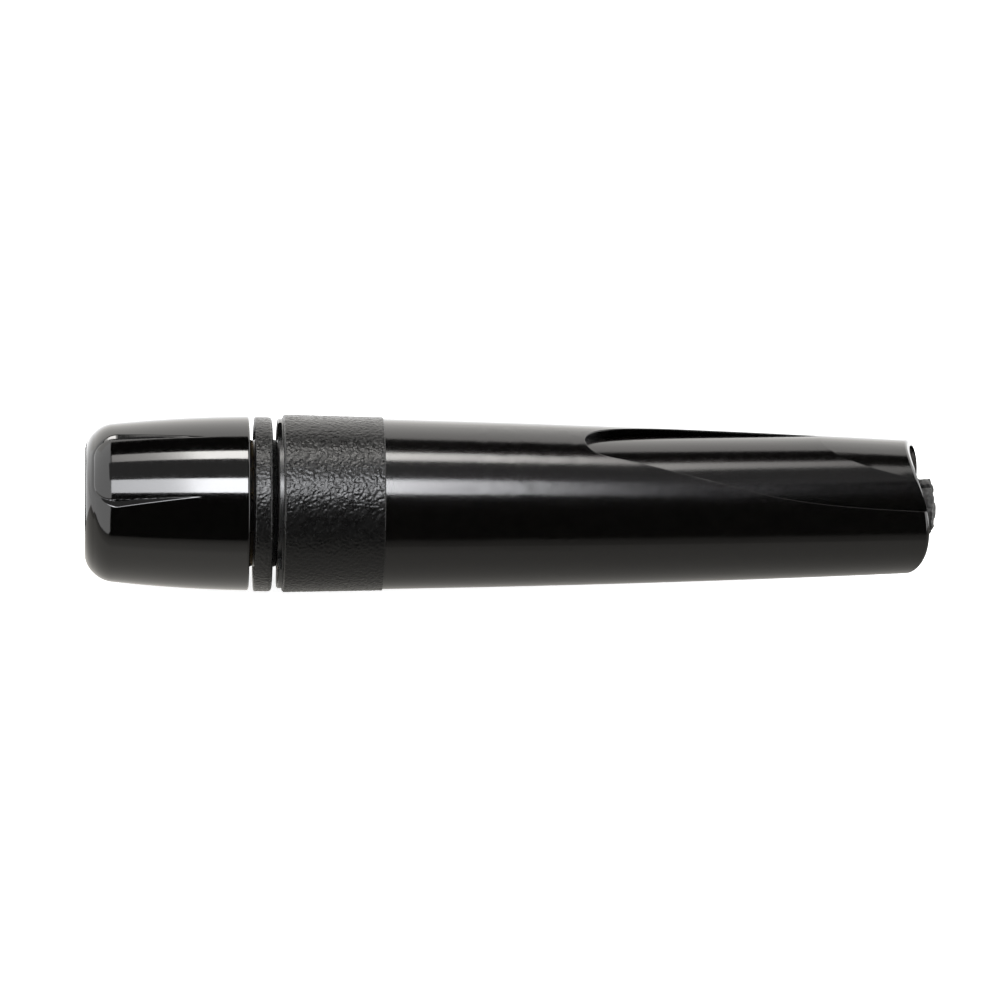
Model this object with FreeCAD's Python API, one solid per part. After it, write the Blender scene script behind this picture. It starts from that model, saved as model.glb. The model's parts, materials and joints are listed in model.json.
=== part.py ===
import FreeCAD, Part

import math
import os

# A twist-lock pen holder, lying on its side.
# Every station is a distance in mm along the axis from the knob's end, and every radius is measured from the axis.
# Angles round the axis are in degrees from the front (-Y), rising over the top (+Z).
# In the row frame +X runs from the knob to the mouth, +Z is up, and the origin is under the middle, at the floor.

# Driving dimensions
OVERALL_LENGTH = 106.4
AXIS_HEIGHT = 11.12
PITCH = 1.0  # one thread pitch for the spindle, the rear bush and the lock ring

# Knob
KNOB_LENGTH = 20.35
KNOB_FRONT_RADIUS = 10.9
KNOB_END_WALL = 1.8
KNOB_FLAT_RADIUS = 6.7
TONGUE_ANGLE = 57.0
TONGUE_ROOT = 15.2
TONGUE_HALF_WIDTH = 4.25
GROOVE_WIDTH = 1.15
GROOVE_DEPTH = 0.6

# Spindle and lock ring
SPINDLE_START = 5.6
SPINDLE_END = 34.0
SPINDLE_RADIUS = 8.0
SPINDLE_BORE = 5.8
SPINDLE_WEB = 2.0
THREAD_END = 29.35
THREAD_DEPTH = 0.2
O_RING_GROOVE = (30.0, 31.4)
O_RING_GROOVE_RADIUS = 6.7
O_RING_RADIUS = 7.38  # to the middle of its section
O_RING_SECTION = 0.66
RING_START = 21.0
RING_END = 23.25
RING_RADIUS = 10.9
RING_SAG = 0.15  # the loose ring hangs this far below the axis
RING_INSERT_RADIUS = 9.3
RING_INSERT_BORE = 8.25

# Barrel
BUSH_FLANGE_START = 23.9
BUSH_FLANGE_RADIUS = 10.6
NOTCH_FLOOR = 24.36
NOTCH_ANGLES = (89.0, -8.5, 269.0, 171.5)
NOTCH_SPAN = 24.0
SLEEVE_START = 24.55
SLEEVE_END = 37.1
SLEEVE_REAR_RADIUS = 11.12
SLEEVE_FRONT_RADIUS = 10.85
SPIGOT_RADIUS = 9.9
BARREL_REAR_RADIUS = 10.68
BARREL_MIDDLE = (71.2, 9.72)
BARREL_TIP = (106.0, 8.24)
REAR_BORE = 9.0
REAR_BORE_END = 36.4
MAIN_BORE = 7.0
MOUTH_BORE = 7.3
RIM_LOBE = 104.94
RIM_CURVE = 15.0
RIM_ROUND = 0.5
RIM_OUTSET = 0.005  # the form that rounds the rim stands this far off the barrel's skin

# Finger pockets: an outline in the plane square to POCKET_ANGLE, cut down to a round floor with a tilted axis
POCKET_ANGLE = 70.0
POCKET_ROUND = 0.12
POCKET_UPPER = ((108.0, 4.9), (89.0, 5.5), (78.4, 5.9), (70.0, 5.82), (65.9, 5.25))
POCKET_NOSE = ((63.1, 4.15), (62.0, 2.6), (62.7, 0.7))
POCKET_LOWER = ((66.3, -0.75), (72.6, -2.25), (79.4, -3.75), (84.2, -4.7), (89.4, -5.3), (108.0, -5.7))
POCKET_FLOOR_RADIUS = 8.3
POCKET_FLOOR_ANGLE = 30.0
POCKET_FLOOR_REAR = (60.0, 1.3, 0.25)  # station, offset of the floor's axis towards its angle, and square to it
POCKET_FLOOR_FRONT = (110.0, -0.43, 0.77)

# Nose bush and chuck
NOSE_START = 85.05
NOSE_END = 93.2
NOSE_CONE_RADIUS = 5.9
CONE_SLOPE = 0.2
NOSE_EXIT = 91.05
SNAP_GROOVE = (93.3, 94.2)
SNAP_GROOVE_RADIUS = 7.6
CARRIER_START = 58.0
CARRIER_END = 69.5
CARRIER_RADIUS = 6.9
KEY_ANGLES = (80.0, 200.0, 320.0)
KEY_WIDTH = 1.6
KEY_TOP = 6.5
KEY_START = 48.0
KEY_END = 66.9
JAW_ANGLES = (20.0, 140.0, 260.0)
PIVOT_STATION = 66.0
PIVOT_RADIUS = 3.6
PIN_RADIUS = 0.6
BLADE = 2.1
SLOT_TOP = 5.85
FINGER_INNER = 1.9
FINGER_OUTER = 3.3
FINGER_SPAN = 76.0
TANG_START = 92.4
TANG_END = 101.0
TANG_OUTER = 2.8
TANG_SPAN = 60.0
CAM = (86.5, 90.5)
SPREADER_GROOVE = (79.3, 80.7)
SPREADER_GROOVE_DEPTH = 0.25
SPREADER_RADIUS = 1.7
SPREADER_SECTION = 0.4
PAD_START = 92.6
PAD_BORE = 1.2
PAD_RADIUS = 3.5
PAD_SPAN = 112.0
PAD_DOME = 9.0

# Push rod
ROD_START = 3.8
ROD_END = 61.0
ROD_RADIUS = 2.2
ROD_COLLAR = (8.2, 9.7)
ROD_COLLAR_RADIUS = 4.2
CLIP_GROOVE = (4.45, 5.02)
CLIP_GROOVE_RADIUS = 1.65
WASHER_THICKNESS = 0.5

# Return spring
SPRING_START = 69.55
SPRING_END = 85.0
SPRING_RADIUS = 6.3
SPRING_WIRE = 0.4
SPRING_TURNS = 6.0

SLIP = 0.05  # clearance between pieces that slide or turn on each other
FAR = 15.0  # further out than anything on the holder

AXIS = FreeCAD.Vector(1, 0, 0)
ORIGIN = FreeCAD.Vector(0, 0, 0)


def point(station, radius):
    return FreeCAD.Vector(station, 0, radius)


def wire_of(outline, place=point):
    """A closed wire. Each entry is a point, or a pair of points: the middle and the end of an arc."""
    edges = []
    first = place(*outline[0])
    here = first
    for entry in outline[1:]:
        if isinstance(entry[0], tuple):
            middle, end = (place(*entry[0]), place(*entry[1]))
            edges.append(Part.Arc(here, middle, end).toShape())
        else:
            end = place(*entry)
            edges.append(Part.makeLine(here, end))
        here = end
    edges.append(Part.makeLine(here, first))
    return Part.Wire(edges)


def turned(outline, span=360.0):
    """A solid of revolution about the axis, centred on the top when it spans less than a full turn."""
    solid = Part.Face(wire_of(outline)).revolve(ORIGIN, AXIS, span)
    if span < 360.0:
        solid.rotate(ORIGIN, AXIS, -span / 2)
    return solid


def tube(start, end, inner, outer, span=360.0):
    return turned([(start, inner), (end, inner), (end, outer), (start, outer)], span)


def rod(start, end, radius):
    return Part.makeCylinder(radius, end - start, FreeCAD.Vector(start, 0, 0), AXIS)


def at_angle(shape, angle):
    """Turn a shape made at the top (+Z) to an angle counted from the front over the top."""
    copy = shape.copy()
    copy.rotate(ORIGIN, AXIS, 90.0 - angle)
    return copy


def prism(outline, angle):
    """The outline (station, sideways) pushed out radially from the axis at the angle."""

    def flat(station, sideways):
        return FreeCAD.Vector(station, sideways, 0)

    face = Part.Face(wire_of(outline, flat))
    return at_angle(face.extrude(FreeCAD.Vector(0, 0, FAR)), angle)


def thread_profile(start, end, crest, depth):
    """Points of a row of V grooves, one pitch apart, along a crest line."""
    points = []
    for turn in range(int((end - start) / PITCH)):
        station = start + turn * PITCH
        points += [(station, crest), (station + PITCH / 2, crest - depth)]
    return points + [(end, crest)]


def tongue_outline(half_width, end_station, root_station, corner):
    """A round-ended tongue whose free end points at the knob's end and whose root narrows to a set width."""
    bend = corner * (1 - math.sqrt(0.5))
    return [
        (root_station, TONGUE_HALF_WIDTH),
        (end_station + corner, half_width),
        ((end_station + bend, half_width - bend), (end_station, half_width - corner)),
        (end_station, -half_width + corner),
        ((end_station + bend, -half_width + bend), (end_station + corner, -half_width)),
        (root_station, -TONGUE_HALF_WIDTH),
    ]


def knob_profile(inset=0.0):
    """The knob's outer outline from the axis to its front edge, moved inwards by the inset."""
    return [
        (inset, 0),
        (inset, KNOB_FLAT_RADIUS - inset * 0.3),
        ((0.3 + inset * 0.9, 7.75 - inset * 0.5), (1.15 + inset * 0.75, 8.85 - inset * 0.75)),
        ((2.05 + inset * 0.4, 9.5 - inset * 0.9), (3.4, 9.9 - inset)),
        ((11.0, 10.55 - inset), (KNOB_LENGTH - 0.15, KNOB_FRONT_RADIUS - inset)),
    ]


def knob_shell():
    bore_start = SPINDLE_START - SLIP
    outline = knob_profile() + [
        (KNOB_LENGTH, KNOB_FRONT_RADIUS - 0.15),
        (KNOB_LENGTH, SPINDLE_RADIUS),
        (bore_start, SPINDLE_RADIUS),
        (bore_start, 5.2),
        (KNOB_END_WALL, 5.2),
        (KNOB_END_WALL, 0),
    ]
    shell = turned(outline)
    floor = turned(knob_profile(GROOVE_DEPTH) + [(KNOB_LENGTH, 0)])
    half = GROOVE_WIDTH / 2
    outer = tongue_outline(TONGUE_HALF_WIDTH + half, 0.72, TONGUE_ROOT, 2.6)
    inner = tongue_outline(TONGUE_HALF_WIDTH - half, 1.35, TONGUE_ROOT, 2.1)
    for angle in (TONGUE_ANGLE, TONGUE_ANGLE + 180):
        groove = prism(outer, angle).cut(prism(inner, angle))
        shell = shell.cut(groove.cut(floor))
    return shell


def spindle():
    web_end = SPINDLE_START + SPINDLE_WEB
    outline = [(SPINDLE_START, ROD_RADIUS + SLIP * 2), (SPINDLE_START, SPINDLE_RADIUS - SLIP)]
    outline += [(KNOB_LENGTH - 0.5, SPINDLE_RADIUS - SLIP)]
    outline += thread_profile(KNOB_LENGTH, THREAD_END, SPINDLE_RADIUS, THREAD_DEPTH)
    outline += [(O_RING_GROOVE[0], SPINDLE_RADIUS), (O_RING_GROOVE[0], O_RING_GROOVE_RADIUS)]
    outline += [(O_RING_GROOVE[1], O_RING_GROOVE_RADIUS), (O_RING_GROOVE[1], SPINDLE_RADIUS)]
    outline += [(SPINDLE_END - 0.4, SPINDLE_RADIUS), (SPINDLE_END, SPINDLE_RADIUS - 0.4)]
    outline += [(SPINDLE_END, SPINDLE_BORE), (web_end, SPINDLE_BORE), (web_end, ROD_RADIUS + SLIP * 2)]
    return turned(outline)


def round_ring(groove, centre_radius, section):
    """A ring of round section in the middle of a groove."""
    return Part.makeTorus(centre_radius, section, FreeCAD.Vector(sum(groove) / 2, 0, 0), AXIS)


def lock_ring():
    round_off = 0.5
    ring = turned([
        (RING_START, RING_INSERT_RADIUS + 0.02),
        (RING_START, RING_RADIUS - 0.12),
        (RING_START + 0.12, RING_RADIUS),
        (RING_END - round_off, RING_RADIUS),
        ((RING_END - 0.146, RING_RADIUS - 0.146), (RING_END, RING_RADIUS - round_off)),
        (RING_END, RING_INSERT_RADIUS + 0.02),
    ])
    return lowered(ring)


def lowered(shape):
    """The loose ring and what is in it hang a little below the axis."""
    shape.translate(FreeCAD.Vector(0, 0, -RING_SAG))
    return shape


def lock_ring_insert():
    return lowered(tube(RING_START + 0.3, RING_END - 0.5, RING_INSERT_BORE, RING_INSERT_RADIUS))


def lock_washer():
    return lowered(tube(RING_END - 0.42, RING_END - 0.05, RING_INSERT_BORE, RING_INSERT_RADIUS - SLIP))


def rear_bush():
    thread = thread_profile(SLEEVE_START + 1.0, REAR_BORE_END - 0.85, REAR_BORE - SLIP, THREAD_DEPTH)
    outline = [(BUSH_FLANGE_START, SPINDLE_RADIUS + 0.1), (BUSH_FLANGE_START, BUSH_FLANGE_RADIUS - 0.15)]
    outline += [(BUSH_FLANGE_START + 0.15, BUSH_FLANGE_RADIUS), (SLEEVE_START - 0.02, BUSH_FLANGE_RADIUS)]
    outline += [(SLEEVE_START - 0.02, REAR_BORE - SLIP)] + thread
    outline += [(REAR_BORE_END - 0.1, REAR_BORE - SLIP), (REAR_BORE_END - 0.1, SPINDLE_RADIUS + 0.1)]
    bush = turned(outline)
    for angle in NOTCH_ANGLES:
        notch = tube(BUSH_FLANGE_START - 1, NOTCH_FLOOR, SPINDLE_RADIUS + 0.7, FAR, NOTCH_SPAN)
        bush = bush.cut(at_angle(notch, angle))
    return bush


def grip_sleeve():
    edge = 0.2
    return turned([
        (SLEEVE_START, SPIGOT_RADIUS + 0.02),
        (SLEEVE_START, SLEEVE_REAR_RADIUS - edge),
        (SLEEVE_START + edge, SLEEVE_REAR_RADIUS),
        (SLEEVE_END - edge / 2, SLEEVE_FRONT_RADIUS),
        (SLEEVE_END, SLEEVE_FRONT_RADIUS - edge / 2),
        (SLEEVE_END, SPIGOT_RADIUS + 0.02),
    ])


def pocket_outline():
    """The finger pocket's outline, laid flat: upper edge, round nose and swept lower edge in one curve."""
    curve = Part.BSplineCurve()
    curve.interpolate([FreeCAD.Vector(*spot, 0) for spot in POCKET_UPPER + POCKET_NOSE + POCKET_LOWER])
    return Part.Wire([curve.toShape(), Part.makeLine(curve.EndPoint, curve.StartPoint)])


def pocket_floor():
    """The round floor of the pocket made at the top."""
    towards = math.radians(90.0 + POCKET_FLOOR_ANGLE - POCKET_ANGLE)

    def axis_point(station, along, across):
        sideways = -along * math.cos(towards) + across * math.sin(towards)
        height = along * math.sin(towards) + across * math.cos(towards)
        return FreeCAD.Vector(station, sideways, height)

    rear = axis_point(*POCKET_FLOOR_REAR)
    axis = axis_point(*POCKET_FLOOR_FRONT) - rear
    return Part.makeCylinder(POCKET_FLOOR_RADIUS, axis.Length, rear, axis)


def pocket_cutter():
    """The pocket made at the top: its outline pushed outwards, less the round floor that it stops at."""
    block = Part.Face(pocket_outline()).extrude(FreeCAD.Vector(0, 0, FAR))
    return block.cut(pocket_floor())


def on_surface(edge, surface):
    return all(surface.distToShape(Part.Vertex(spot))[0] < 0.002 for spot in edge.discretize(5))


def barrel_form(outset=0.0):
    """The barrel's outer form, solid, with its seam at the front, clear of the pockets."""
    form = turned([
        (SLEEVE_START, 0),
        (SLEEVE_START, SPIGOT_RADIUS + outset),
        (SLEEVE_END - outset, SPIGOT_RADIUS + outset),
        (SLEEVE_END - outset, BARREL_REAR_RADIUS + outset),
        ((BARREL_MIDDLE[0], BARREL_MIDDLE[1] + outset), (BARREL_TIP[0], BARREL_TIP[1] + outset)),
        (BARREL_TIP[0], 0),
    ])
    return at_angle(form, 0.0)


def barrel_hollow():
    """What is bored out of the barrel, from its thread at the rear to its mouth, snap ring groove included."""
    hollow = turned([
        (SLEEVE_START - 1, 0),
        (SLEEVE_START - 1, REAR_BORE),
        (REAR_BORE_END, REAR_BORE),
        (REAR_BORE_END, MAIN_BORE),
        (NOSE_START - SLIP, MAIN_BORE),
        (NOSE_START - SLIP, MOUTH_BORE),
        (SNAP_GROOVE[0], MOUTH_BORE),
        (SNAP_GROOVE[0], SNAP_GROOVE_RADIUS),
        (SNAP_GROOVE[1], SNAP_GROOVE_RADIUS),
        (SNAP_GROOVE[1], MOUTH_BORE),
        (BARREL_TIP[0] + 1, MOUTH_BORE),
        (BARREL_TIP[0] + 1, 0),
    ])
    return at_angle(hollow, 0.0)


def round_rim(shell, edge_radius, radius):
    """Round the mouth's edges near one radius: they lie on the trimming cylinder."""

    def on_rim(edge):
        return all(
            spot.x > RIM_LOBE - 5
            and abs(math.hypot(spot.x - RIM_LOBE + RIM_CURVE, spot.z) - RIM_CURVE) < 0.001
            and abs(math.hypot(spot.y, spot.z) - edge_radius) < 0.4
            for spot in edge.discretize(7)
        )

    return shell.makeFillet(radius, [edge for edge in shell.Edges if on_rim(edge)])


def trim_mouth(shell):
    """The mouth is trimmed by a big cylinder lying across the barrel, which leaves a lobe at the front and back."""
    block = Part.makeBox(FAR, 2 * FAR, 2 * FAR, FreeCAD.Vector(RIM_LOBE - 10, -FAR, -FAR))
    centre = FreeCAD.Vector(RIM_LOBE - RIM_CURVE, -FAR, 0)
    across = Part.makeCylinder(RIM_CURVE, 2 * FAR, centre, FreeCAD.Vector(0, 1, 0))
    return shell.cut(block.cut(across))


def barrel_shell():
    form = barrel_form()
    skin = Part.makeCompound(form.Faces)
    shell = form.cut(barrel_hollow())
    edges = []
    for angle in (POCKET_ANGLE, POCKET_ANGLE + 180):
        shell = shell.cut(at_angle(pocket_cutter(), angle))
    for angle in (POCKET_ANGLE, POCKET_ANGLE + 180):
        wall = at_angle(pocket_outline().extrude(FreeCAD.Vector(0, 0, FAR)), angle)
        edges += [edge for edge in shell.Edges if on_surface(edge, skin) and on_surface(edge, wall)]
    shell = shell.makeFillet(POCKET_ROUND, [edge for edge in edges if edge.Length > 1.5])
    shell = shell.common(round_rim(trim_mouth(barrel_form(RIM_OUTSET)), BARREL_TIP[1], RIM_ROUND))
    shell = round_rim(shell, MOUTH_BORE, RIM_ROUND / 2)
    for angle in KEY_ANGLES:
        key = Part.makeBox(
            KEY_END - KEY_START, KEY_WIDTH, MAIN_BORE + 0.4 - KEY_TOP,
            FreeCAD.Vector(KEY_START, -KEY_WIDTH / 2, KEY_TOP),
        )
        shell = shell.fuse(at_angle(key, angle))
    return shell


def nose_bush():
    exit_radius = NOSE_CONE_RADIUS - CONE_SLOPE * (NOSE_EXIT - NOSE_START)
    return turned([
        (NOSE_START, NOSE_CONE_RADIUS),
        (NOSE_START, MOUTH_BORE - 0.02),
        (NOSE_END, MOUTH_BORE - 0.02),
        (NOSE_END, exit_radius),
        (NOSE_EXIT, exit_radius),
    ])


def bush_snap_ring():
    start, end = (SNAP_GROOVE[0] + 0.03, SNAP_GROOVE[1] - 0.03)
    return at_angle(tube(start, end, 6.7, SNAP_GROOVE_RADIUS - SLIP, 310.0), 120.0)


def push_rod():
    return turned([
        (ROD_START, 0),
        (ROD_START, ROD_RADIUS - 0.3),
        (ROD_START + 0.3, ROD_RADIUS),
        (CLIP_GROOVE[0], ROD_RADIUS),
        (CLIP_GROOVE[0], CLIP_GROOVE_RADIUS),
        (CLIP_GROOVE[1], CLIP_GROOVE_RADIUS),
        (CLIP_GROOVE[1], ROD_RADIUS),
        (ROD_COLLAR[0], ROD_RADIUS),
        (ROD_COLLAR[0], ROD_COLLAR_RADIUS),
        (ROD_COLLAR[1], ROD_COLLAR_RADIUS),
        (ROD_COLLAR[1], ROD_RADIUS),
        (ROD_END, ROD_RADIUS),
        (ROD_END, 0),
    ])


def rod_e_clip():
    start, end = (CLIP_GROOVE[0] + 0.04, CLIP_GROOVE[1] - 0.04)
    return tube(start, end, CLIP_GROOVE_RADIUS + 0.02, 3.6, 290.0)


def thrust_washer(start):
    return tube(start, start + WASHER_THICKNESS, ROD_RADIUS + SLIP, ROD_COLLAR_RADIUS)


def pivot_hole(radius, reach_low, reach_high):
    """A cylinder along a jaw's pivot, for the jaw at the top."""
    start = FreeCAD.Vector(PIVOT_STATION, -reach_low, PIVOT_RADIUS)
    return Part.makeCylinder(radius, reach_low + reach_high, start, FreeCAD.Vector(0, 1, 0))


def jaw_carrier():
    carrier = turned([
        (CARRIER_START, ROD_RADIUS + 0.03),
        (CARRIER_START, CARRIER_RADIUS - 0.4),
        (CARRIER_START + 0.4, CARRIER_RADIUS),
        (CARRIER_END - 0.4, CARRIER_RADIUS),
        (CARRIER_END, CARRIER_RADIUS - 0.4),
        (CARRIER_END, 0),
        (ROD_END + SLIP, 0),
        (ROD_END + SLIP, ROD_RADIUS + 0.03),
    ])
    slot_width = BLADE + 2 * SLIP
    for angle in JAW_ANGLES:
        slot = Part.makeBox(
            FAR, slot_width, SLOT_TOP, FreeCAD.Vector(PIVOT_STATION - 2.4, -slot_width / 2, 0)
        )
        carrier = carrier.cut(at_angle(slot, angle))
        carrier = carrier.cut(at_angle(pivot_hole(PIN_RADIUS + 0.02, 4.5, 7.5), angle))
    keyway_width = KEY_WIDTH + 2 * SLIP
    for angle in KEY_ANGLES:
        keyway = Part.makeBox(
            FAR, keyway_width, 2, FreeCAD.Vector(CARRIER_START - 1, -keyway_width / 2, KEY_TOP - SLIP)
        )
        carrier = carrier.cut(at_angle(keyway, angle))
    return carrier


def jaw_pin():
    return pivot_hole(PIN_RADIUS, 4.4, 4.4)


def jaw_finger():
    """A finger for the jaw at the top: a flat root on the pivot, a curved arm, a cam pad and a thin tang."""
    root_radius = 2.0
    arm_start = PIVOT_STATION + 4.0
    root = Part.makeCylinder(
        root_radius, BLADE, FreeCAD.Vector(PIVOT_STATION, -BLADE / 2, PIVOT_RADIUS), FreeCAD.Vector(0, 1, 0)
    )
    blade = Part.makeBox(
        arm_start - PIVOT_STATION + 2.0, BLADE, 2 * root_radius,
        FreeCAD.Vector(PIVOT_STATION, -BLADE / 2, PIVOT_RADIUS - root_radius),
    )
    arm = turned([
        (arm_start, FINGER_INNER),
        (SPREADER_GROOVE[0], FINGER_INNER),
        (SPREADER_GROOVE[0], FINGER_INNER + SPREADER_GROOVE_DEPTH),
        (SPREADER_GROOVE[1], FINGER_INNER + SPREADER_GROOVE_DEPTH),
        (SPREADER_GROOVE[1], FINGER_INNER),
        (TANG_START, FINGER_INNER),
        (TANG_START, FINGER_OUTER),
        (arm_start, FINGER_OUTER),
    ], FINGER_SPAN)
    cam_radius = [NOSE_CONE_RADIUS - CONE_SLOPE * (station - NOSE_START) - SLIP for station in CAM]
    cam = turned([
        (CAM[0] - 1.5, FINGER_OUTER - 0.5),
        (CAM[0], cam_radius[0]),
        (CAM[1], cam_radius[1]),
        (CAM[1] + 0.8, FINGER_OUTER - 0.5),
    ], FINGER_SPAN - 16)
    tang = tube(TANG_START - 0.5, TANG_END, FINGER_INNER, TANG_OUTER, TANG_SPAN)
    finger = root.fuse([blade, arm, cam, tang]).removeSplitter()
    return finger.cut(pivot_hole(PIN_RADIUS + SLIP, FAR, FAR))


def jaw_pad():
    """A granular pad for the jaw at the top, moulded round the finger's tang, with a domed tip."""

    def dome(radius):
        drop = math.sqrt(PAD_DOME ** 2 - PAD_BORE ** 2) - math.sqrt(PAD_DOME ** 2 - radius ** 2)
        return (OVERALL_LENGTH - drop, radius)

    pad = turned([
        (PAD_START, PAD_BORE),
        dome(PAD_BORE),
        (dome((PAD_BORE + PAD_RADIUS) / 2), dome(PAD_RADIUS)),
        (PAD_START, PAD_RADIUS),
    ], PAD_SPAN)
    clearance = 0.01
    pocket = tube(
        PAD_START - 1, TANG_END + clearance, FINGER_INNER - clearance, TANG_OUTER + clearance, TANG_SPAN + 0.6
    )
    return pad.cut(pocket)


def return_spring():
    height = SPRING_END - SPRING_START - 2 * SPRING_WIRE
    path = Part.makeLongHelix(height / SPRING_TURNS, height, SPRING_RADIUS)
    circle = Part.Circle(FreeCAD.Vector(SPRING_RADIUS, 0, 0), FreeCAD.Vector(0, 1, 0), SPRING_WIRE)
    spring = Part.Wire(path).makePipeShell([Part.Wire([circle.toShape()])], True, True)
    spring.rotate(ORIGIN, FreeCAD.Vector(0, 1, 0), 90)
    spring.translate(FreeCAD.Vector(SPRING_START + SPRING_WIRE, 0, 0))
    return spring


def all_pieces():
    pieces = {
        "knob_shell": knob_shell(),
        "spindle": spindle(),
        "spindle_o_ring": round_ring(O_RING_GROOVE, O_RING_RADIUS, O_RING_SECTION),
        "lock_ring": lock_ring(),
        "lock_ring_insert": lock_ring_insert(),
        "lock_washer": lock_washer(),
        "rear_bush": rear_bush(),
        "grip_sleeve": grip_sleeve(),
        "barrel_shell": barrel_shell(),
        "nose_bush": nose_bush(),
        "bush_snap_ring": bush_snap_ring(),
        "push_rod": push_rod(),
        "rod_e_clip": rod_e_clip(),
        "thrust_washer_rear": thrust_washer(CLIP_GROOVE[1] + 0.03),
        "thrust_washer_front": thrust_washer(SPINDLE_START + SPINDLE_WEB + SLIP),
        "jaw_carrier": jaw_carrier(),
        "jaw_spreader_ring": round_ring(SPREADER_GROOVE, SPREADER_RADIUS, SPREADER_SECTION),
        "return_spring": return_spring(),
    }
    for number, angle in enumerate(JAW_ANGLES, start=1):
        pieces[f"jaw_pin_{number}"] = at_angle(jaw_pin(), angle)
        pieces[f"jaw_finger_{number}"] = at_angle(jaw_finger(), angle)
        pieces[f"jaw_pad_{number}"] = at_angle(jaw_pad(), angle)
    return pieces


def main():
    os.makedirs("parts", exist_ok=True)
    into_row_frame = FreeCAD.Vector(-OVERALL_LENGTH / 2, 0, AXIS_HEIGHT)
    for name, shape in all_pieces().items():
        shape.translate(into_row_frame)
        if not shape.isValid() or len(shape.Solids) != 1:
            print(f"{name}: valid {shape.isValid()}, solids {len(shape.Solids)}")
        shape.Solids[0].exportStep(f"parts/{name}.step")


main()
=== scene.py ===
import json
import math

import bmesh
import bpy
import numpy as np
from mathutils import Matrix, Vector, noise


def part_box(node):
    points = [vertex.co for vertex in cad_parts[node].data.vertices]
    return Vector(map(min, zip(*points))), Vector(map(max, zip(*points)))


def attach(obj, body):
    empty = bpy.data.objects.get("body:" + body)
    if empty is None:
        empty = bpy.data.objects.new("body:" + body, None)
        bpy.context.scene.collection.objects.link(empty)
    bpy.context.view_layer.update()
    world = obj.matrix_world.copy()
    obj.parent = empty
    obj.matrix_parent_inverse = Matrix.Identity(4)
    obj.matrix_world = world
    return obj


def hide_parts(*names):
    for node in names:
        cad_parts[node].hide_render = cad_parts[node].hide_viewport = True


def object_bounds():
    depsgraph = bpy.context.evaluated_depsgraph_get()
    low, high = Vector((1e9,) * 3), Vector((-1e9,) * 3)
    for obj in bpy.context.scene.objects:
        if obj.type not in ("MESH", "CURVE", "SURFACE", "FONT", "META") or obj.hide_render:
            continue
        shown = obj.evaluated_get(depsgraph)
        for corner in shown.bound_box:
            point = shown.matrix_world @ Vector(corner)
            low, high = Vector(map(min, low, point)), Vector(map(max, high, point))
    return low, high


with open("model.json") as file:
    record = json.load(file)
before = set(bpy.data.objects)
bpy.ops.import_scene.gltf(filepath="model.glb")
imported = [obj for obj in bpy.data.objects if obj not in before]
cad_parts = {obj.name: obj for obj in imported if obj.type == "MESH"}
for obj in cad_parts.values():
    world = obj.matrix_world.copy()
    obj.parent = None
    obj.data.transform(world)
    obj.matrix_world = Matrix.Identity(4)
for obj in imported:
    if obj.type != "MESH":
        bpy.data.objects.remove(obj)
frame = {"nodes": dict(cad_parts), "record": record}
CAD_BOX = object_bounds()

# The holder lies along X. A station is a distance in mm along its axis from the knob's end.
# Angles round the axis are in degrees from the front (-Y), rising over the top (+Z).
# A point of a turned outline is a station and a radius.
MM = 0.001
KNOB_END_X = CAD_BOX[0].x
TIP_X = CAD_BOX[1].x
AXIS_Z = (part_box("barrel_shell")[0].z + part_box("barrel_shell")[1].z) / 2

# Camera
ELEVATION = 30.0
YAW = -4.0
ROLL = 2.3
DISTANCE = 0.862
FIELD = 0.125
AIM_STATION = 51.8
AIM_UP = 0.54
SENSOR = 36.0

# Knob
KNOB_FLAT_RADIUS = 6.7
KNOB_CORNER = (1.15, 8.85)
KNOB_SHOULDER = (3.4, 9.9)
KNOB_RIM = (20.2, 10.9)
KNOB_MOUTH = (20.35, 10.75)
KNOB_END_WALL = 1.8
KNOB_INNER_RADIUS = 5.2
SPINDLE_RADIUS = 8.0
SPINDLE_SEAT = 5.55
TONGUE_ANGLE = 57.0
TONGUE_HALF_WIDTH = 4.05
TONGUE_END = 1.2
TONGUE_CORNER = 2.2
TONGUE_SPAN = 34.0
GROOVE_END = 15.2
GROOVE_WIDTH = 1.0
GROOVE_WIDEST = 4.0
GROOVE_NOSE_WIDTH = 0.3
GROOVE_NOSE_GAIN = 0.8
GROOVE_NOSE_END = 4.5
GROOVE_SLOPE = 0.5
GROOVE_WALL = 0.16
GROOVE_FLOOR_ROUND = 0.03
GROOVE_FADE = 1.0

# Textured band
SLEEVE_REAR_EDGE = (24.55, 10.92)
SLEEVE_REAR = (24.75, 11.12)
SLEEVE_FRONT = (37.0, 10.85)
SLEEVE_FRONT_EDGE = (37.1, 10.75)
SLEEVE_BORE = 9.92

# Lock ring
RING_REAR_EDGE = (21.0, 10.78)
RING_REAR = (21.12, 10.9)
RING_FRONT = (22.75, 10.9)
RING_ROUND = (23.104, 10.754)
RING_FRONT_EDGE = (23.25, 10.4)
RING_BORE = 9.32
RING_SAG = 0.15

# Texture of the band and the ring: how far its peaks lie under the surface, and how deep it is under them
GRAIN_CELL = 0.34
GRAIN_TOP = 0.006
GRAIN_DEPTH = 0.055
GRAIN_MARGIN = 0.15
GRAIN_AT_EDGE = 0.3
GRAIN_COARSE = 0.75
GRAIN_FINE = 0.45
GRAIN_FINE_SCALE = 2.1
GRAIN_ANGLES = np.arange(0, 360, 0.45)

# Jaw pads: lumps as pairs of a size and a height
PAD_VOXEL = 0.11
PAD_SMOOTH_TO = 101.6
PAD_ROUGH_FROM = 102.6
PAD_LUMPS = ((1.5, 0.25), (0.55, 0.16), (0.25, 0.07))
PAD_SINK = 0.08

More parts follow.
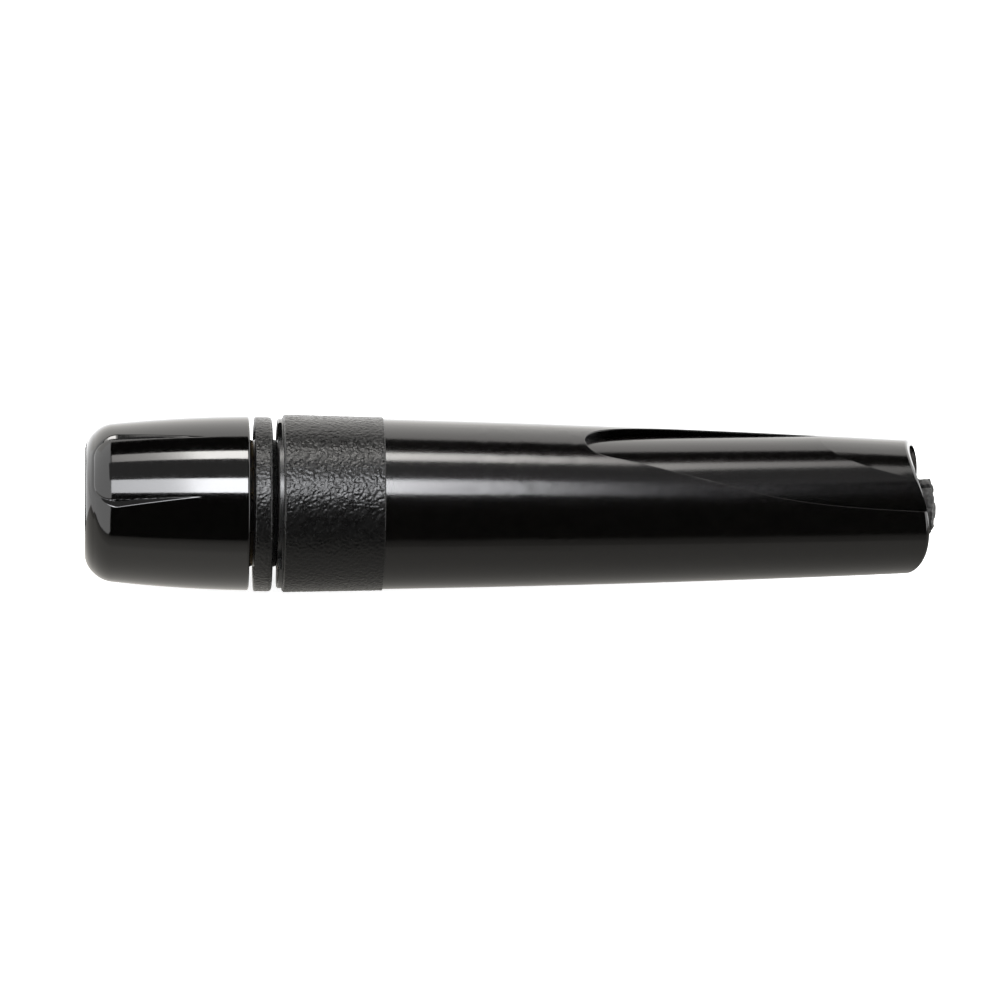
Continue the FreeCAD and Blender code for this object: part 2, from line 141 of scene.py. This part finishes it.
# Stage, in metres. A fade lists pairs of a place along an axis and the share of the full glow there.
FLOOR_REACH = 6.0
FLOOR_GLOW = 0.85
WORLD_GLOW = 1.7
WARM = (1.0, 0.98, 0.95)
OLIVE = (1.0, 0.97, 0.91)
COOL = (0.96, 0.97, 1.0)
STRIP_FADE = (
    (-0.2, 0.0), (-0.17, 0.2), (-0.116, 0.3), (-0.091, 0.55), (-0.075, 1.0), (0.0, 1.0), (0.054, 0.6),
    (0.07, 0.42), (0.1, 0.2), (0.13, 0.2), (0.15, 0.07), (0.165, 0.12), (1.0, 0.1),
)
BOX_FADE = (
    (-0.2, 0.0), (-0.18, 0.4), (-0.104, 0.52), (-0.09, 0.62), (-0.075, 1.0), (0.0, 1.0), (0.034, 0.6),
    (0.044, 0.48), (0.0588, 0.3), (0.064, 0.02), (0.07, 0.05), (0.087, 0.05), (0.09, 0.0),
)
TABLE_FADE = ((-0.044, 0.0), (-0.041, 0.3), (-0.032, 0.6), (-0.026, 0.72), (-0.022, 0.95), (0.01, 1.0))


def around(angle):
    """The unit vector square to the axis at an angle."""
    a = math.radians(angle)
    return Vector((0, -math.cos(a), math.sin(a)))


# ---------------------------------------------------------------- materials

def new_material(name):
    material = bpy.data.materials.new(name)
    material.use_nodes = True
    tree = material.node_tree
    shader = tree.nodes["Principled BSDF"]
    return material, tree, shader


def coordinates(tree):
    return tree.nodes.new("ShaderNodeTexCoord").outputs["Object"]


def speckle(tree, vector, scale, detail=3.0, rough=0.55):
    node = tree.nodes.new("ShaderNodeTexNoise")
    tree.links.new(vector, node.inputs["Vector"])
    node.inputs["Scale"].default_value = scale
    node.inputs["Detail"].default_value = detail
    node.inputs["Roughness"].default_value = rough
    return node.outputs["Fac"]


def remap(tree, value, low, high, start=0.0, end=1.0):
    node = tree.nodes.new("ShaderNodeMapRange")
    tree.links.new(value, node.inputs["Value"])
    for name, number in (("From Min", start), ("From Max", end), ("To Min", low), ("To Max", high)):
        node.inputs[name].default_value = number
    return node.outputs["Result"]


def bump(tree, shader, height, distance):
    node = tree.nodes.new("ShaderNodeBump")
    node.inputs["Strength"].default_value = 1.0
    node.inputs["Distance"].default_value = distance
    tree.links.new(height, node.inputs["Height"])
    tree.links.new(node.outputs["Normal"], shader.inputs["Normal"])


def tinted(tree, shader, fac, dark, light):
    ramp = tree.nodes.new("ShaderNodeValToRGB")
    ramp.color_ramp.elements[0].color = (*dark, 1)
    ramp.color_ramp.elements[1].color = (*light, 1)
    tree.links.new(fac, ramp.inputs["Fac"])
    tree.links.new(ramp.outputs["Color"], shader.inputs["Base Color"])


def finish(name, dark, light, rough, grain_size, grain_depth, metallic=0.0, specular=0.5):
    """Colour that drifts between two tints, roughness between two values, and a fine grain in mm."""
    material, tree, shader = new_material(name)
    place = coordinates(tree)
    tinted(tree, shader, speckle(tree, place, 600.0), dark, light)
    drift = speckle(tree, place, 1200.0, 4.0)
    tree.links.new(remap(tree, drift, *rough, 0.3, 0.7), shader.inputs["Roughness"])
    bump(tree, shader, speckle(tree, place, 1 / (grain_size * MM), 2.0), grain_depth * MM)
    shader.inputs["Metallic"].default_value = metallic
    shader.inputs["Specular IOR Level"].default_value = specular
    return material


MATERIALS = {
    "gloss_black": finish(
        "knob_gloss", (0.0006, 0.0006, 0.0006), (0.0014, 0.0013, 0.0012), (0.06, 0.1), 0.2, 0.001
    ),
    "satin_black": finish(
        "barrel_satin", (0.0006, 0.0006, 0.0006), (0.0018, 0.0016, 0.0014), (0.12, 0.16), 0.16, 0.0045
    ),
    "grain_black": finish(
        "grain", (0.001, 0.001, 0.001), (0.003, 0.0029, 0.0028), (0.24, 0.34), 0.12, 0.01, 0.0, 0.3
    ),
    "rough_rubber": finish(
        "rubber_grain", (0.004, 0.0038, 0.0036), (0.02, 0.019, 0.018), (0.55, 0.75), 0.15, 0.05
    ),
    "seal_rubber": finish(
        "seal", (0.006, 0.006, 0.006), (0.012, 0.012, 0.012), (0.45, 0.6), 0.3, 0.01
    ),
    "dark_polymer": finish(
        "polymer", (0.003, 0.003, 0.003), (0.007, 0.007, 0.007), (0.25, 0.35), 0.2, 0.006
    ),
    "nylon": finish(
        "nylon_white", (0.6, 0.58, 0.5), (0.7, 0.68, 0.62), (0.35, 0.45), 0.3, 0.01
    ),
    "brass": finish(
        "brass_turned", (0.55, 0.38, 0.14), (0.7, 0.5, 0.22), (0.2, 0.35), 0.2, 0.005, 1.0
    ),
    "steel": finish(
        "steel_turned", (0.45, 0.45, 0.46), (0.6, 0.6, 0.6), (0.2, 0.35), 0.2, 0.005, 1.0
    ),
    "spring_steel": finish(
        "steel_wire", (0.3, 0.3, 0.31), (0.45, 0.45, 0.45), (0.2, 0.3), 0.2, 0.004, 1.0
    ),
}

SLOT_OF = {part["node"]: part["material_slot"] for part in frame["record"]["subparts"]}
BODY_OF = {node: body for body, nodes in frame["record"]["behaviour"]["bodies"].items() for node in nodes}

for node_name, slot_name in SLOT_OF.items():
    slots = frame["nodes"][node_name].data.materials
    for index in range(len(slots)):
        slots[index] = MATERIALS[slot_name]


# ---------------------------------------------------------------- turned pieces

def line(start, end, count):
    """Points on a straight line, both ends included."""
    (ax, ay), (bx, by) = start, end
    return [(ax + (bx - ax) * t, ay + (by - ay) * t) for t in np.linspace(0, 1, count)]


def arc(start, middle, end, count):
    """Points on the arc through three points, both ends included."""
    (ax, ay), (bx, by), (cx, cy) = start, middle, end
    a2, b2, c2 = (ax * ax + ay * ay, bx * bx + by * by, cx * cx + cy * cy)
    double_area = 2 * (ax * (by - cy) + bx * (cy - ay) + cx * (ay - by))
    ux = (a2 * (by - cy) + b2 * (cy - ay) + c2 * (ay - by)) / double_area
    uy = (a2 * (cx - bx) + b2 * (ax - cx) + c2 * (bx - ax)) / double_area
    radius = math.hypot(ax - ux, ay - uy)
    first = math.atan2(ay - uy, ax - ux)
    turn = math.atan2(cy - uy, cx - ux) - first
    turn = (turn + math.pi) % (2 * math.pi) - math.pi
    return [(ux + radius * math.cos(first + turn * t), uy + radius * math.sin(first + turn * t))
            for t in np.linspace(0, 1, count)]


def outward(outline):
    """Unit normals of an outline that runs from the knob's end to the mouth along its outer side."""
    points = np.array(outline)
    step = np.gradient(points, axis=0)
    length = np.hypot(step[:, 0], step[:, 1])
    return np.stack([-step[:, 1] / length, step[:, 0] / length], axis=1)


def turned_piece(name, node, skin, rest, angles, relief, sag=0.0):
    """A turned solid: the skin's rows are sunk by the relief, and the rest of the outline closes it.

    An outline that starts and ends on the axis has a pole at each end; any other is a closed ring.
    """
    phi = np.radians(np.array(angles))
    points = np.array(skin)
    normals = outward(skin)
    station = np.repeat(points[:, :1], len(phi), axis=1)
    radius = np.repeat(points[:, 1:], len(phi), axis=1)
    sunk = relief(station, radius, np.repeat(phi[None, :], len(skin), axis=0))
    station = station - sunk * normals[:, :1]
    radius = radius - sunk * normals[:, 1:]
    rows = [(station[i], radius[i]) for i in range(len(skin))]
    rows += [(np.full(len(phi), s), np.full(len(phi), r)) for s, r in rest]
    has_poles = rest[-1][1] == 0
    mesh = bmesh.new()
    rings = []
    for row_station, row_radius in rows:
        if row_radius.max() == 0:
            pole = mesh.verts.new((KNOB_END_X + row_station[0] * MM, 0, AXIS_Z - sag * MM))
            rings.append([pole] * len(phi))
            continue
        x = KNOB_END_X + row_station * MM
        y = -row_radius * np.cos(phi) * MM
        z = AXIS_Z - sag * MM + row_radius * np.sin(phi) * MM
        rings.append([mesh.verts.new(spot) for spot in zip(x, y, z)])
    pairs = list(zip(rings, rings[1:] + rings[:1]))
    if has_poles:
        pairs = pairs[:-1]
    for here, there in pairs:
        for i in range(len(phi)):
            j = (i + 1) % len(phi)
            corners = [here[i], here[j], there[j], there[i]]
            mesh.faces.new(list(dict.fromkeys(corners)))
    bmesh.ops.recalc_face_normals(mesh, faces=mesh.faces)
    data = bpy.data.meshes.new(name)
    mesh.to_mesh(data)
    mesh.free()
    data.shade_smooth()
    data.set_sharp_from_angle(angle=math.radians(50))
    add_piece(name, node, data)


def add_piece(name, node, data):
    """Put a mesh in the scene in place of a CAD node, on its body and with its finish."""
    data.materials.clear()
    data.materials.append(MATERIALS[SLOT_OF[node]])
    piece = bpy.data.objects.new(name, data)
    bpy.context.scene.collection.objects.link(piece)
    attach(piece, BODY_OF[node])
    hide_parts(node)


def smooth_step(low, high, value):
    t = np.clip((value - low) / (high - low), 0, 1)
    return t * t * (3 - 2 * t)


def tongue_groove(station, radius, phi):
    """How deep the groove round each tongue is: a steep wall at its edge and a floor that rises outwards."""
    sunk = np.zeros_like(station)
    for centre in (TONGUE_ANGLE, TONGUE_ANGLE + 180):
        turn = phi - math.radians(centre)
        beyond_end = TONGUE_END + TONGUE_CORNER - station
        beyond_side = np.abs(radius * np.sin(turn)) - TONGUE_HALF_WIDTH + TONGUE_CORNER
        outside = np.hypot(np.maximum(beyond_end, 0), np.maximum(beyond_side, 0)) - TONGUE_CORNER
        distance = outside + np.minimum(np.maximum(beyond_end, beyond_side), 0)
        side_width = GROOVE_WIDTH * (GROOVE_END - station) / (GROOVE_END - GROOVE_WIDEST)
        nose_width = GROOVE_NOSE_WIDTH + GROOVE_NOSE_GAIN * smooth_step(TONGUE_END, GROOVE_NOSE_END, station)
        width = np.minimum(side_width, nose_width)
        rise = GROOVE_SLOPE * (width - distance)
        floor = (rise + np.sqrt(rise ** 2 + GROOVE_FLOOR_ROUND ** 2)) / 2
        wall = smooth_step(0, GROOVE_WALL, distance)
        fade = smooth_step(GROOVE_END + GROOVE_FADE, GROOVE_END - GROOVE_FADE, station)
        sunk += np.where(np.cos(turn) > 0, wall * floor * fade, 0)
    return sunk


def knob():
    """The end knob: fine steps round the two tongues, coarse ones between them."""
    skin = line((0, 0), (0, KNOB_FLAT_RADIUS), 6)
    skin += arc((0, KNOB_FLAT_RADIUS), (0.3, 7.75), KNOB_CORNER, 28)[1:]
    skin += arc(KNOB_CORNER, (2.05, 9.5), KNOB_SHOULDER, 34)[1:]
    skin += arc(KNOB_SHOULDER, (11.0, 10.55), KNOB_RIM, 100)[1:]
    rest = [KNOB_MOUTH, (KNOB_MOUTH[0], SPINDLE_RADIUS), (SPINDLE_SEAT, SPINDLE_RADIUS)]
    rest += [(SPINDLE_SEAT, KNOB_INNER_RADIUS), (KNOB_END_WALL, KNOB_INNER_RADIUS), (KNOB_END_WALL, 0)]
    tongue_span = np.arange(TONGUE_ANGLE - TONGUE_SPAN, TONGUE_ANGLE + TONGUE_SPAN, 0.25)
    side_span = np.arange(TONGUE_ANGLE + TONGUE_SPAN, TONGUE_ANGLE + 180 - TONGUE_SPAN, 1.0)
    angles = np.concatenate([tongue_span, side_span, tongue_span + 180, side_span + 180])
    turned_piece("knob_shell_moulded", "knob_shell", skin, rest, angles, tongue_groove)


def grain_height(x, y, z):
    """The texture's height from 0, deepest, to 1."""
    spot = Vector((x, y, z)) / GRAIN_CELL
    height = 0.5 + GRAIN_COARSE * noise.noise(spot) + GRAIN_FINE * noise.noise(spot * GRAIN_FINE_SCALE)
    return min(max(height, 0), 1)


def grain(station, radius, phi):
    """A spark-eroded texture with its peaks just under the surface, faded out at the piece's edges."""
    y = radius * np.cos(phi)
    z = radius * np.sin(phi)
    height = np.vectorize(grain_height)(station, y, z)
    ends = smooth_step(station.min(), station.min() + GRAIN_MARGIN, station)
    ends *= smooth_step(station.max(), station.max() - GRAIN_MARGIN, station)
    return GRAIN_TOP + GRAIN_DEPTH * (1 - height) * (GRAIN_AT_EDGE + (1 - GRAIN_AT_EDGE) * ends)


def grip_sleeve():
    """The textured band: a straight taper with a small bevel at each end."""
    skin = line(SLEEVE_REAR_EDGE, SLEEVE_REAR, 4)
    skin += line(SLEEVE_REAR, SLEEVE_FRONT, 150)[1:]
    skin += line(SLEEVE_FRONT, SLEEVE_FRONT_EDGE, 3)[1:]
    bore = [(SLEEVE_FRONT_EDGE[0], SLEEVE_BORE), (SLEEVE_REAR_EDGE[0], SLEEVE_BORE)]
    turned_piece("grip_sleeve_textured", "grip_sleeve", skin, bore, GRAIN_ANGLES, grain)


def lock_ring():
    """The loose ring, rounded towards the mouth, which hangs a little low."""
    skin = line(RING_REAR_EDGE, RING_REAR, 3)
    skin += line(RING_REAR, RING_FRONT, 22)[1:]
    skin += arc(RING_FRONT, RING_ROUND, RING_FRONT_EDGE, 10)[1:]
    bore = [(RING_FRONT_EDGE[0], RING_BORE), (RING_REAR_EDGE[0], RING_BORE)]
    turned_piece("lock_ring_textured", "lock_ring", skin, bore, GRAIN_ANGLES, grain, RING_SAG)


def jaw_pad(number):
    """A pad with a granular, lumpy tip: the design model's pad, remeshed, with its free end roughened."""
    node = f"jaw_pad_{number}"
    scratch = bpy.data.objects.new("scratch", frame["nodes"][node].data.copy())
    bpy.context.scene.collection.objects.link(scratch)
    remesh = scratch.modifiers.new("remesh", "REMESH")
    remesh.mode = "VOXEL"
    remesh.voxel_size = PAD_VOXEL * MM
    graph = bpy.context.evaluated_depsgraph_get()
    data = bpy.data.meshes.new_from_object(scratch.evaluated_get(graph))
    bpy.data.objects.remove(scratch)
    normals = [vertex.normal.copy() for vertex in data.vertices]
    for vertex, normal in zip(data.vertices, normals):
        station = (vertex.co.x - KNOB_END_X) / MM
        free = float(smooth_step(PAD_SMOOTH_TO, PAD_ROUGH_FROM, station))
        spot = vertex.co / MM
        lumps = sum(noise.noise(spot / size) * height for size, height in PAD_LUMPS)
        vertex.co += normal * (lumps - PAD_SINK) * free * MM
        vertex.co.x = min(vertex.co.x, TIP_X)
    data.shade_smooth()
    data.name = f"{node}_granular"
    add_piece(data.name, node, data)


knob()
grip_sleeve()
lock_ring()
for jaw_number in (1, 2, 3):
    jaw_pad(jaw_number)


# ---------------------------------------------------------------- stage, camera, light

def card(name, centre, across, along, emission, colour=(1, 1, 1), fade=None, fade_axis="X"):
    """A glowing rectangle with two half-edge vectors, seen only in reflections."""
    mesh = bpy.data.meshes.new(name)
    signs = ((-1, -1), (1, -1), (1, 1), (-1, 1))
    corners = [tuple(centre + across * a + along * b) for a, b in signs]
    mesh.from_pydata(corners, [], [(0, 1, 2, 3)])
    sheet = bpy.data.objects.new(name, mesh)
    bpy.context.scene.collection.objects.link(sheet)
    material = bpy.data.materials.new(name)
    material.use_nodes = True
    tree = material.node_tree
    tree.nodes.clear()
    out = tree.nodes.new("ShaderNodeOutputMaterial")
    light = tree.nodes.new("ShaderNodeEmission")
    light.inputs["Color"].default_value = (*colour, 1)
    light.inputs["Strength"].default_value = emission
    if fade:
        split = tree.nodes.new("ShaderNodeSeparateXYZ")
        tree.links.new(coordinates(tree), split.inputs["Vector"])
        start, end = (fade[0][0], fade[-1][0])
        share = remap(tree, split.outputs[fade_axis], 0.0, 1.0, start, end)
        ramp = tree.nodes.new("ShaderNodeValToRGB")
        for spot, glow in fade[1:-1]:
            stop = ramp.color_ramp.elements.new((spot - start) / (end - start))
            stop.color = (glow, glow, glow, 1)
        ramp.color_ramp.elements[0].color = (fade[0][1],) * 3 + (1,)
        ramp.color_ramp.elements[-1].color = (fade[-1][1],) * 3 + (1,)
        scale = tree.nodes.new("ShaderNodeMath")
        scale.operation = "MULTIPLY"
        scale.inputs[1].default_value = emission
        tree.links.new(share, ramp.inputs["Fac"])
        tree.links.new(ramp.outputs["Color"], scale.inputs[0])
        tree.links.new(scale.outputs["Value"], light.inputs["Strength"])
    tree.links.new(light.outputs["Emission"], out.inputs["Surface"])
    mesh.materials.append(material)
    sheet.visible_camera = False
    sheet.visible_shadow = False
    sheet.visible_diffuse = False


def strip(name, low, high, distance, x_low, x_high, emission, colour=(1, 1, 1), fade=None):
    """A card parallel to the holder that fills the angles from low to high as seen from its axis."""
    middle = (low + high) / 2
    out = around(middle)
    side = around(middle + 90)
    half = distance * math.tan(math.radians((high - low) / 2))
    centre = Vector(((x_low + x_high) / 2, 0, AXIS_Z)) + out * distance
    card(name, centre, Vector(((x_high - x_low) / 2, 0, 0)), side * half, emission, colour, fade)


def table_card(name, middle_x, half_length, height, emission):
    """A card on the table, just in front of the holder, that fades towards the viewer."""
    centre = Vector((middle_x, -0.017, height))
    card(name, centre, Vector((half_length, 0, 0)), Vector((0, 0.027, 0)), emission, OLIVE, TABLE_FADE, "Y")


def make_floor():
    mesh = bpy.data.meshes.new("floor")
    signs = ((-1, -1), (1, -1), (1, 1), (-1, 1))
    mesh.from_pydata([(a * FLOOR_REACH, b * FLOOR_REACH, 0) for a, b in signs], [], [(0, 1, 2, 3)])
    floor = bpy.data.objects.new("floor", mesh)
    bpy.context.scene.collection.objects.link(floor)
    material, _, shader = new_material("floor_card")
    shader.inputs["Base Color"].default_value = (0.9, 0.9, 0.9, 1)
    shader.inputs["Roughness"].default_value = 0.9
    shader.inputs["Specular IOR Level"].default_value = 0.0
    shader.inputs["Emission Color"].default_value = (1, 1, 1, 1)
    shader.inputs["Emission Strength"].default_value = FLOOR_GLOW
    mesh.materials.append(material)
    floor.visible_glossy = False


def make_light():
    world = bpy.data.worlds.new("world")
    bpy.context.scene.world = world
    world.use_nodes = True
    world.node_tree.nodes["Background"].inputs["Color"].default_value = (1, 1, 1, 1)
    world.node_tree.nodes["Background"].inputs["Strength"].default_value = WORLD_GLOW
    world.cycles_visibility.glossy = False

    strip("strip_light", 90.5, 102.5, 0.6, -0.2, 1.0, 20.0, WARM, STRIP_FADE)
    strip("soft_box", 43.5, 62.5, 0.5, -0.2, 0.09, 26.0, COOL, BOX_FADE)
    strip("dim_ceiling", 63, 91, 0.62, -0.3, 0.2, 0.4)
    strip("backdrop", 128, 182, 0.6, -1.5, 1.5, 2.2, WARM)
    table_card("table_front", 0, 0.2, 0.0001, 0.58)
    table_card("table_left", -0.075, 0.045, 0.0002, 0.92)
    card("table_behind", Vector((0, 0.35, 0.0001)), Vector((1.0, 0, 0)), Vector((0, 0.31, 0)), 2.2)
    card("wall_left", Vector((-0.6, 0, 0.8)), Vector((0, 1.6, 0)), Vector((0, 0, 1.2)), 2.6)
    card("wall_right", Vector((0.6, 0, 0.2)), Vector((0, 0.6, 0)), Vector((0, 0, 0.5)), 3.5)


def make_camera():
    data = bpy.data.cameras.new("camera")
    data.sensor_width = SENSOR
    data.lens = SENSOR * DISTANCE / FIELD
    data.clip_start = 0.05
    data.clip_end = 20.0
    camera = bpy.data.objects.new("camera", data)
    bpy.context.scene.collection.objects.link(camera)
    a, e = math.radians(YAW), math.radians(ELEVATION)
    back = Vector((math.sin(a) * math.cos(e), -math.cos(a) * math.cos(e), math.sin(e)))
    turn = (-back).to_track_quat("-Z", "Y").to_matrix() @ Matrix.Rotation(math.radians(ROLL), 3, "Z")
    aim = Vector((KNOB_END_X + AIM_STATION * MM, 0, AXIS_Z)) + turn @ Vector((0, AIM_UP * MM, 0))
    camera.matrix_world = Matrix.Translation(aim + back * DISTANCE) @ turn.to_4x4()
    bpy.context.scene.camera = camera


make_floor()
make_light()
make_camera()
bpy.context.scene.view_settings.view_transform = "Standard"
